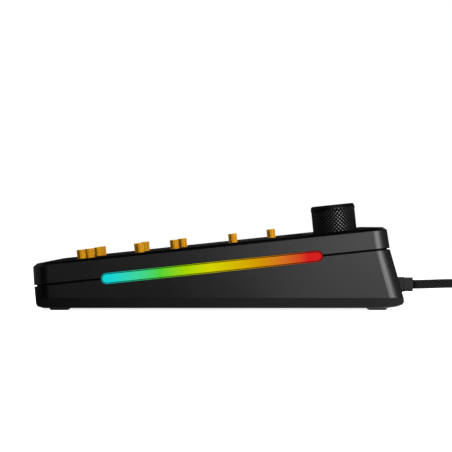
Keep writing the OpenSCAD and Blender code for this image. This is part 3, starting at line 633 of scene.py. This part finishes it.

# %% [markdown]
# ## Light strips
# Each strip is a milky pill in the case's side, lit from behind, with colours that run along it.
# The colours are plain rainbow hues at round places, and an attribute marks the narrow rim, whose glow is painted
# nearly dark as painted shade from the edge of the case's opening.

# %% Light strip finish
STRIP_L = 89.6 * MM
STRIP_MID = 49.95 * MM
RIM_PAINTED_SHADE = 0.9
RIM_WIDTH, RIM_SINK = 0.36 * MM, 0.06 * MM
MIDDLE_INSET, MIDDLE_RISE = 0.5 * MM, 0.08 * MM
STRIP_FLAT_DEGREES = 0.3
GLOW = 1.02
TURQUOISE, GREEN, LIME, YELLOW = (20, 210, 210), (80, 210, 50), (160, 210, 0), (210, 210, 0)
AMBER, ORANGE, RED = (210, 150, 0), (210, 110, 30), (210, 30, 30)
RAINBOW = [
    (-40, TURQUOISE), (-20, GREEN), (-10, LIME), (0, YELLOW), (20, AMBER), (30, ORANGE), (40, RED),
]
glow, tree, principled, place = shader("lit diffuser", (0.001, 0.001, 0.001, 1), 0.45)
principled.inputs["Specular IOR Level"].default_value = 0.0
split = node(tree, "SeparateXYZ")
tree.links.new(place, split.inputs[0])
ends = [deck(0, STRIP_MID + s * STRIP_L / 2, 0).y for s in (-1, 1)]
along = node(tree, "MapRange")
tree.links.new(split.outputs[1], along.inputs["Value"])
along.inputs["From Min"].default_value = ends[0]
along.inputs["From Max"].default_value = ends[1]
ramp = node(tree, "ValToRGB")
tree.links.new(along.outputs["Result"], ramp.inputs["Fac"])
while len(ramp.color_ramp.elements) < len(RAINBOW):
    ramp.color_ramp.elements.new(0.5)
for element, (place_mm, colour) in zip(ramp.color_ramp.elements, RAINBOW):
    element.position = 0.5 + place_mm * MM / STRIP_L
    element.color = linear(*colour)
# painted shade: the rim's glow is darkened towards black, as if shaded by the opening's edge
rim = node(tree, "Attribute", attribute_name="rim")
shade = math_node(tree, "MULTIPLY", rim.outputs["Fac"], RIM_PAINTED_SHADE)
lit = mix_colour(tree, shade, ramp.outputs["Color"], (0, 0, 0, 1))
tree.links.new(lit, principled.inputs["Emission Color"])
principled.inputs["Emission Strength"].default_value = GLOW
print("colour stops:", len(RAINBOW))

# %% [markdown]
# The copy's outer face is inset twice. The attribute marks the rim that the first inset leaves, which gets the
# painted shade, and the second one raises the middle a little.

# %% Light strips


def light_strip(name, node_name, side):
    bm = merged(node_name, STRIP_FLAT_DEGREES)
    bm.normal_update()
    layer = bm.faces.layers.float.new("rim")
    outer = max(bm.faces, key=lambda f: (side * f.normal.x > 0.9, side * f.calc_center_median().x))
    ring = bmesh.ops.inset_region(bm, faces=[outer], thickness=RIM_WIDTH, depth=-RIM_SINK)
    for face in ring["faces"]:
        face[layer] = 1
        face.smooth = True
    bmesh.ops.inset_region(bm, faces=[outer], thickness=MIDDLE_INSET, depth=MIDDLE_RISE)
    return add_piece(name, bm, "case", "light_lens", glow, node_name)


light_strip("lit_strip_right", "light_strip_right", 1)
light_strip("lit_strip_left", "light_strip_left", -1)
print("light strips: 2")

# %% [markdown]
# ## The knob
# A knurled knob is a turned cylinder with two sets of slanting grooves rolled into it,
# which leave rows of small pyramids. Rings of points are extruded up the side, and every second
# point is pushed in. Split along the pushed-in points, each square becomes two pyramid flanks.
# The tips of the pyramids are cut flat, and their colour is painted paler than their flanks as a painted
# highlight.

# %% Knob
tree = knob_finish.node_tree
principled = tree.nodes["Principled BSDF"]
# painted highlight: the flat tips of the pyramids get a paler colour than their flanks, standing in for their
# glints
crest = node(tree, "Attribute", attribute_name="crest").outputs["Fac"]
plain = principled.inputs["Base Color"].links[0].from_socket
tree.links.new(mix_colour(tree, crest, plain, linear(47, 47, 48)), principled.inputs["Base Color"])

KNOB_R = 9 * MM
GROOVE = 0.34 * MM
CREST = 0.34 * MM
KNURL_SIDES = 72
KNURL_ROWS = 14
KNURL_LOW, KNURL_HIGH = -1.1 * MM, 9.7 * MM
# Heights and radii of the plain rings over and under the knurling, in millimetres
TOP_RINGS = (
    (9.72, 8.9), (10.35, 8.9), (10.9, 8.45), (11.02, 8.2), (11.05, 7.9), (11.05, 7.2), (10.95, 7.05),
)
FOOT_RINGS = (
    (-1.15, 8.9), (-1.6, 8.85), (-1.95, 8.6), (-2.0, 8.3), (-2.0, 6.7), (-1.9, 6.6), (1.6, 6.6),
)


def raise_ring(bm, edges, height, radius):
    """Extrudes a ring of edges to a new height and radius, and returns its new edges and points."""
    made = bmesh.ops.extrude_edge_only(bm, edges=edges)["geom"]
    verts = [g for g in made if isinstance(g, bmesh.types.BMVert)]
    for v in verts:
        flat = Vector((v.co.x, v.co.y, 0)).normalized() * radius
        v.co = Vector((flat.x, flat.y, height))
    return [g for g in made if isinstance(g, bmesh.types.BMEdge)], verts


def knurled_knob():
    bm = bmesh.new()
    ring = bmesh.ops.create_circle(bm, segments=KNURL_SIDES, radius=KNOB_R)["verts"]
    bmesh.ops.translate(bm, verts=ring, vec=(0, 0, KNURL_LOW))
    edges = list(bm.edges)
    rows = [ring]
    for row in range(1, KNURL_ROWS + 1):
        height = KNURL_LOW + (KNURL_HIGH - KNURL_LOW) * row / KNURL_ROWS
        edges, verts = raise_ring(bm, edges, height, KNOB_R)
        rows.append(verts)
    knurled = list(bm.faces)
    crests = []
    for row, verts in enumerate(rows[1:-1], start=1):
        for v in verts:
            column = round((math.atan2(v.co.y, v.co.x) % math.tau) / math.tau * KNURL_SIDES)
            if (column + row) % 2:
                shrink = 1 - GROOVE / KNOB_R
                v.co = Vector((v.co.x * shrink, v.co.y * shrink, v.co.z))
            else:
                crests.append(v)
    bmesh.ops.triangulate(bm, faces=knurled, quad_method="SHORT_EDGE")
    layer = bm.faces.layers.float.new("crest")
    # the flat tips made here carry the painted highlight
    painted_highlight_tips = bmesh.ops.bevel(bm, geom=crests, offset=CREST, segments=1, profile=0.5, affect="VERTICES")
    for face in painted_highlight_tips["faces"]:
        face[layer] = 1
    knurled = set(bm.faces)
    open_edges = [e for e in bm.edges if e.is_boundary]
    upper = [e for e in open_edges if e.verts[0].co.z > 0]
    lower = [e for e in open_edges if e.verts[0].co.z < 0]
    for edges, rings in ((upper, TOP_RINGS), (lower, FOOT_RINGS)):
        for height, radius in rings:
            edges = raise_ring(bm, edges, height * MM, radius * MM)[0]
        bmesh.ops.contextual_create(bm, geom=edges)
    bmesh.ops.remove_doubles(bm, verts=bm.verts, dist=1e-7)
    bmesh.ops.recalc_face_normals(bm, faces=bm.faces)
    for face in bm.faces:
        face.smooth = face not in knurled and len(face.verts) == 4
    bm.transform(deck_matrix(KNOB_FOOT.x, KNOB_ROW, 0))
    return bm


knob = add_piece("knurled_knob", knurled_knob(), "knob", "knob_metal", knob_finish, "knob")
print("knob faces:", len(knob.data.polygons))

# %% [markdown]
# ## Lamps under the keys
# Each key position has a small white lamp on the board, beside the switch's centre hole.
# The key rows are widths in key units, so the lamps need no list of places.

# %% Key lamps
UNIT = 19.05 * MM
FIELD = 22.5
# Each run of keys: its row, its first unit, and the widths of its keys
ROWS = [
    (0, 0, [1.25] * 3 + [6.25] + [1.25] * 4), (0, 15.25, [1] * 3), (0, 18.5, [2, 1]),
    (1, 0, [2.25] + [1] * 10 + [2.75]), (1, 16.25, [1]), (1, 18.5, [1] * 3),
    (2, 0, [1.75] + [1] * 11 + [2.25]), (2, 18.5, [1] * 3),
    (3, 0, [1.5] + [1] * 12 + [1.5]), (3, 15.25, [1] * 3), (3, 18.5, [1] * 3),
    (4, 0, [1] * 13 + [2]), (4, 15.25, [1] * 3), (4, 18.5, [1] * 4),
    (5, 0, [1]), (5, 2, [1] * 4), (5, 6.5, [1] * 4), (5, 11, [1] * 4), (5, 15.25, [1] * 3),
    (5, 18.5, [1] * 3),
]
TALL_UNIT, TALL_ROWS = 22, (0.5, 2.5)
ROW_GAP = 5.95 * MM
BOARD_TOP = -11.5 * MM
LAMP_SIZE = (3.2 * MM, 2.6 * MM, 0.9 * MM)
LAMP_RIM, LAMP_SINK = 0.45 * MM, 0.12 * MM
LAMP_LIFT = 0.46 * MM
LAMP_FORWARD = 4.9 * MM


def row_place(row):
    return row * UNIT + (ROW_GAP if row == 5 else 0)


keys = [((start + sum(widths[:k]) + width / 2 - FIELD / 2) * UNIT, row_place(row))
        for row, start, widths in ROWS for k, width in enumerate(widths)]
keys += [((TALL_UNIT - FIELD / 2) * UNIT, row_place(row)) for row in TALL_ROWS]

lamps = bmesh.new()
for x, along in keys:
    block = bmesh.ops.create_cube(lamps, size=1)["verts"]
    bmesh.ops.scale(lamps, verts=block, vec=LAMP_SIZE)
    top = max({f for v in block for f in v.link_faces}, key=lambda f: f.calc_center_median().z)
    bmesh.ops.inset_region(lamps, faces=[top], thickness=LAMP_RIM, depth=-LAMP_SINK)
    near_top = {v for e in top.edges for f in e.link_faces for v in f.verts}
    turned = deck_matrix(x, along - LAMP_FORWARD, BOARD_TOP + LAMP_LIFT)
    bmesh.ops.transform(lamps, matrix=turned, verts=list(near_top | set(block)))
add_piece("key_lamps", lamps, "case", "light_board", white_plastic)
print("key lamps:", len(keys))

# %% [markdown]
# ## Floor and world
# The floor is white paper. Emission lifts it to white only for rays from the camera, a mirror or
# glass, and it keeps a faint shadow. Close beside the right-hand side its reflection is instead a painted
# gradient of light, dark at the front and bright at the back, a painted reflection that shades the metal's lower
# lip.
# The world is white to the camera and in reflections, and dim as a light on the object.

# %% Stage
PAPER_LIGHT = 0.85
PAPER_COLOUR = 0.8
WORLD_LIGHT = 0.3
GRADIENT_LIGHT = 2
# The strip of floor with the painted light gradient: where it fades in and out beside the case, and along it
FADE_IN, FADE_OUT, FADE_ALONG = (0.1, 0.2), (0.4, 0.25), (-0.1, 0.12)
floor_bm = bmesh.new()
bmesh.ops.create_grid(floor_bm, x_segments=1, y_segments=1, size=8)
floor_mesh = bpy.data.meshes.new("floor")
floor_bm.to_mesh(floor_mesh)
floor_bm.free()
floor = bpy.data.objects.new("floor", floor_mesh)
bpy.context.scene.collection.objects.link(floor)
paper, tree, principled, place = shader("white paper", (0.8, 0.8, 0.8, 1), 0.9)
principled.inputs["Specular IOR Level"].default_value = 0.0


def seen_directly(tree):
    """One for rays that come from the camera, a mirror or glass, and nought for the light itself."""
    path = node(tree, "LightPath")
    total = path.outputs["Is Camera Ray"]
    for kind in ("Is Glossy Ray", "Is Transmission Ray"):
        total = math_node(tree, "MAXIMUM", total, path.outputs[kind])
    return total


def ramp_between(tree, vector, axis, start, end):
    """Nought up to a place along one axis, rising to one at another."""
    parts = node(tree, "SeparateXYZ")
    tree.links.new(vector, parts.inputs[0])
    made = node(tree, "MapRange")
    tree.links.new(parts.outputs[axis], made.inputs["Value"])
    made.inputs["From Min"].default_value = start
    made.inputs["From Max"].default_value = end
    return made.outputs["Result"]


lift = node(tree, "Emission")
lift.inputs["Color"].default_value = (1, 1, 1, 1)
faded_out, faded_in = (ramp_between(tree, place, 0, *fade) for fade in (FADE_OUT, FADE_IN))
beside = math_node(tree, "MULTIPLY", faded_out, faded_in)
beside = math_node(tree, "MULTIPLY", beside, node(tree, "LightPath").outputs["Is Glossy Ray"])
elsewhere = math_node(tree, "SUBTRACT", 1, beside)
# painted reflection: a glow that only mirrors see, rising from the front to the back
gradient = math_node(tree, "MULTIPLY", ramp_between(tree, place, 1, *FADE_ALONG), GRADIENT_LIGHT)
glow_along = math_node(tree, "MULTIPLY", gradient, beside)
even_light = math_node(tree, "MULTIPLY", seen_directly(tree), PAPER_LIGHT)
plain_light = math_node(tree, "MULTIPLY", even_light, elsewhere)
tree.links.new(math_node(tree, "ADD", plain_light, glow_along), lift.inputs["Strength"])
paper_colour = math_node(tree, "MULTIPLY", elsewhere, PAPER_COLOUR)
tree.links.new(paper_colour, principled.inputs["Base Color"])
both = node(tree, "AddShader")
tree.links.new(principled.outputs[0], both.inputs[0])
tree.links.new(lift.outputs[0], both.inputs[1])
tree.links.new(both.outputs[0], tree.nodes["Material Output"].inputs["Surface"])
floor_mesh.materials.append(paper)

world = bpy.data.worlds.new("studio")
bpy.context.scene.world = world
world.use_nodes = True
tree = world.node_tree
tree.nodes["Background"].inputs["Color"].default_value = (1, 1, 1, 1)
strength = math_node(tree, "MULTIPLY_ADD", seen_directly(tree), 1 - WORLD_LIGHT, WORLD_LIGHT)
tree.links.new(strength, tree.nodes["Background"].inputs["Strength"])
print("world:", world.name)

# %% [markdown]
# ## Lamps
# Dark metal shows what it mirrors, and plastic shows what falls on it, so each has its own lamps.
# Two softboxes are seen only in reflections. Together they draw the gradient along the side and the
# bright band on the back corner.
# The key light and the top light are left out of reflections and light everything at a plain level.

# %% Lamps


def softbox(name, place, target, size, size_y, watts):
    data = bpy.data.lights.new(name, "AREA")
    data.shape = "RECTANGLE"
    data.size = size
    data.size_y = size_y
    data.energy = watts
    box = bpy.data.objects.new(name, data)
    box.location = place
    box.rotation_euler = (Vector(target) - Vector(place)).to_track_quat("-Z", "Y").to_euler()
    box.visible_camera = False
    bpy.context.scene.collection.objects.link(box)
    return box


# Name, place, target, width, height and power of each lamp
MIRRORED = [
    ("right_light", (0.43, 0.24, 0.18), (0.2, 0.24, 0.18), 0.44, 0.35, 1.65),
    ("back_light", (0.95, 0.475, 0.16), (0.22, 0.08, 0.02), 0.46, 0.4, 11),
]
UNMIRRORED = [
    ("key_light", (0.72, 0.78, 0.34), (0.1, 0, 0.02), 0.35, 0.35, 9.5),
    ("top_light", (-0.55, -0.45, 0.95), (0, 0, 0), 0.7, 0.7, 14),
]
for settings in MIRRORED:
    softbox(*settings).visible_diffuse = False
for settings in UNMIRRORED:
    softbox(*settings).visible_glossy = False
print("lights: 4")

# %% [markdown]
# ## Cards
# Black cards stand where the metal would otherwise mirror the white studio.
# Only reflections see them, so they throw no shadow and don't darken the plastic.

# %% Cards


def flag(name, place, target, width, height):
    bm = bmesh.new()
    bmesh.ops.create_grid(bm, x_segments=1, y_segments=1, size=0.5)
    mesh = bpy.data.meshes.new(name)
    bm.to_mesh(mesh)
    bm.free()
    mesh.materials.append(black_card)
    card = bpy.data.objects.new(name, mesh)
    card.scale = (width, height, 1)
    card.location = place
    card.rotation_euler = (Vector(target) - Vector(place)).to_track_quat("-Z", "Y").to_euler()
    card.visible_camera = False
    card.visible_diffuse = False
    card.visible_shadow = False
    bpy.context.scene.collection.objects.link(card)


black_card = shader("black card", (0.0, 0.0, 0.0, 1), 1.0)[0]
black_card.node_tree.nodes["Principled BSDF"].inputs["Specular IOR Level"].default_value = 0.0
flag("far_flag", (-0.55, 0, 0.2), (0, 0, 0.2), 1.2, 0.4)
flag("overhead_flag", (0.16, 0, 0.33), (0.16, 0, 0), 0.34, 0.5)
flag("front_flag", (0.44, -0.28, 0.08), (0, -0.28, 0.08), 0.6, 0.16)
flag("floor_flag", (0.432, -0.28, 0.002), (0.432, -0.28, 1), 0.4, 0.6)
print("flags: 4")
